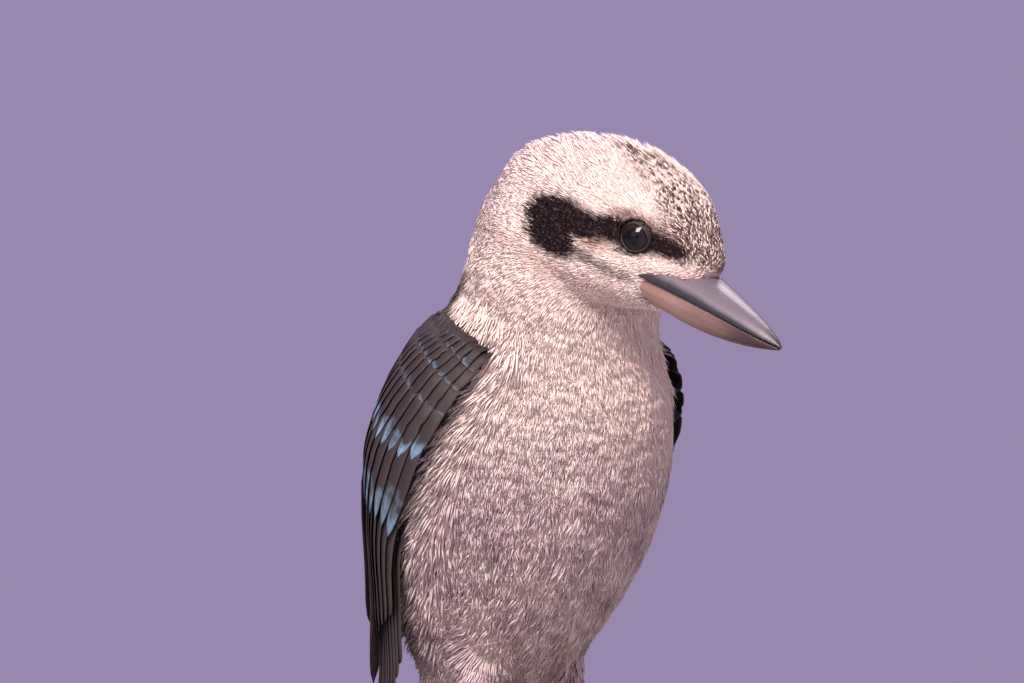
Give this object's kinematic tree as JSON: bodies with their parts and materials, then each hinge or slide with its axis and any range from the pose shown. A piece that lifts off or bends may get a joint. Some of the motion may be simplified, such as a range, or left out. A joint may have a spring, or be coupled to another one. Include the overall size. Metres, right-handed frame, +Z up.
{
  "type": "laughing kookaburra",
  "caption": "Life-size laughing kookaburra sitting upright and fluffed, bill lowered to one side of the view, on a short cut branch held over a plain round display stand.",
  "frame": {"origin": "middle of the stand base's underside, on the floor", "axes": "+Z up, +X the way the bird faces, +Y to the bird's left"},
  "size_m": [0.236, 0.176, 0.3718],
  "materials": {
    "body_feathers": "soft matte feathers, cream white with a dark eye mask",
    "wing_feathers": "satin dark brown vanes with pale azure covert tips",
    "tail_feathers": "satin rufous vanes barred black with white tips",
    "bill_dark": "smooth horn, half gloss",
    "bill_pale": "smooth pale horn, half gloss",
    "eye": "wet gloss",
    "foot": "dry scaly skin",
    "branch_wood": "grey weathered wood, matte",
    "stand_wood": "dark satin wood",
    "stand_metal": "brushed"
  },
  "bodies": {
    "root": {"head": "body_feathers", "bill_upper": "bill_dark", "bill_lower": "bill_pale", "eye_left": "eye", "eye_right": "eye", "neck": "body_feathers", "torso": "body_feathers", "tail": "tail_feathers", "wing_left": "wing_feathers", "leg_left": "body_feathers", "foot_left": "foot", "wing_right": "wing_feathers", "leg_right": "body_feathers", "foot_right": "foot", "perch": "branch_wood", "stand_base": "stand_wood", "stand_rod_left": "stand_metal", "stand_rod_right": "stand_metal"}
  },
  "joints": []
}
